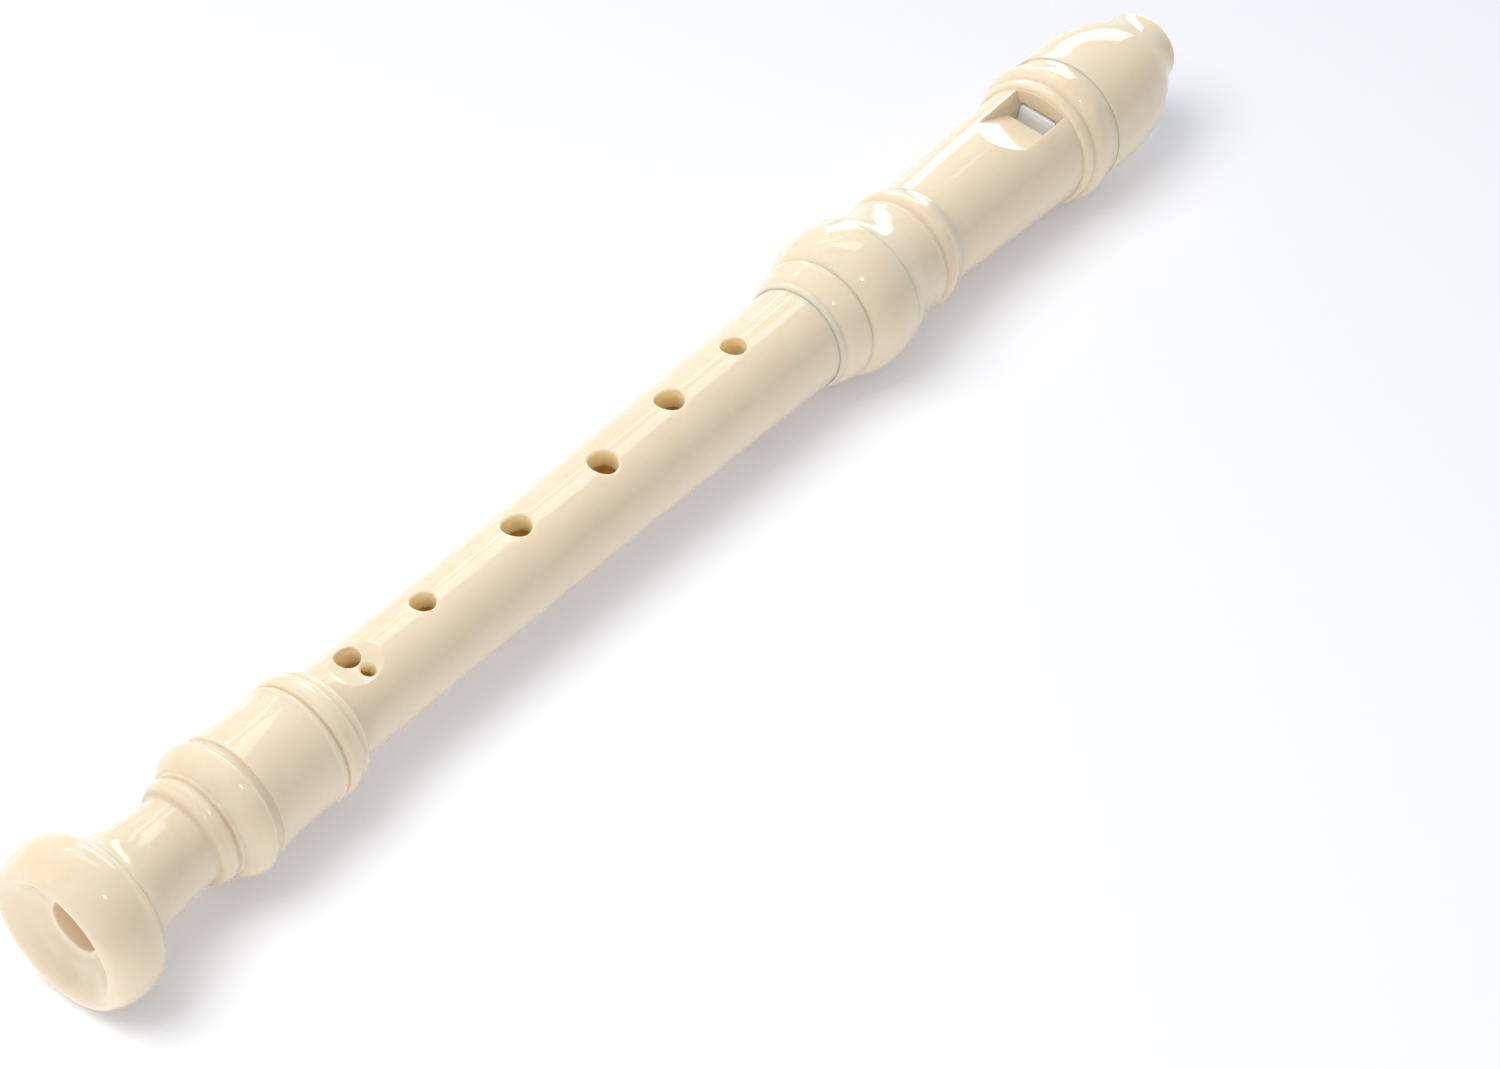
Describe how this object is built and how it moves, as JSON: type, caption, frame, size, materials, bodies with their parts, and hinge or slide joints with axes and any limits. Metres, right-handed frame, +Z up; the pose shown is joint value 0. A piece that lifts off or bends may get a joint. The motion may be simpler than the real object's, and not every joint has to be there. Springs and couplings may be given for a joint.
{
  "type": "soprano recorder",
  "caption": "Soprano recorder in moulded plastic: a beaked head joint with windway and labium, a middle joint with finger holes, and a belled foot joint that turns on its tenon.",
  "frame": {"origin": "bottom centre of the bounding box, on the ground plane the instrument lies on, under the bore's axis", "axes": "+X along the bore from the bell to the beak, +Z up through the row of finger holes, -Y towards the player's left hand side"},
  "size_m": [0.33, 0.0324, 0.0324],
  "materials": {
    "abs_ivory_middle": "polished moulded ABS, warm ivory",
    "abs_ivory_foot": "polished moulded ABS, warm ivory",
    "abs_ivory_head": "polished moulded ABS, warm ivory",
    "abs_grey_white_block": "satin white-grey moulded plastic"
  },
  "bodies": {
    "middle": {"middle_joint": "abs_ivory_middle"},
    "foot": {"foot_joint": "abs_ivory_foot", "bell_ring": "abs_ivory_foot"},
    "head": {"head_tube": "abs_ivory_head", "socket_bulb": "abs_ivory_head", "mouthpiece": "abs_ivory_head", "fipple_block": "abs_grey_white_block"}
  },
  "joints": [
    {"name": "head_slide", "type": "slide", "parent": "middle", "child": "head", "axis": [1, 0, 0], "range_m": [0, 0.025]},
    {"name": "foot_turn", "type": "hinge", "parent": "middle", "child": "foot", "pos_m": [-0.107, 0, 0.01621], "axis": [1, 0, 0], "continuous": true}
  ]
}
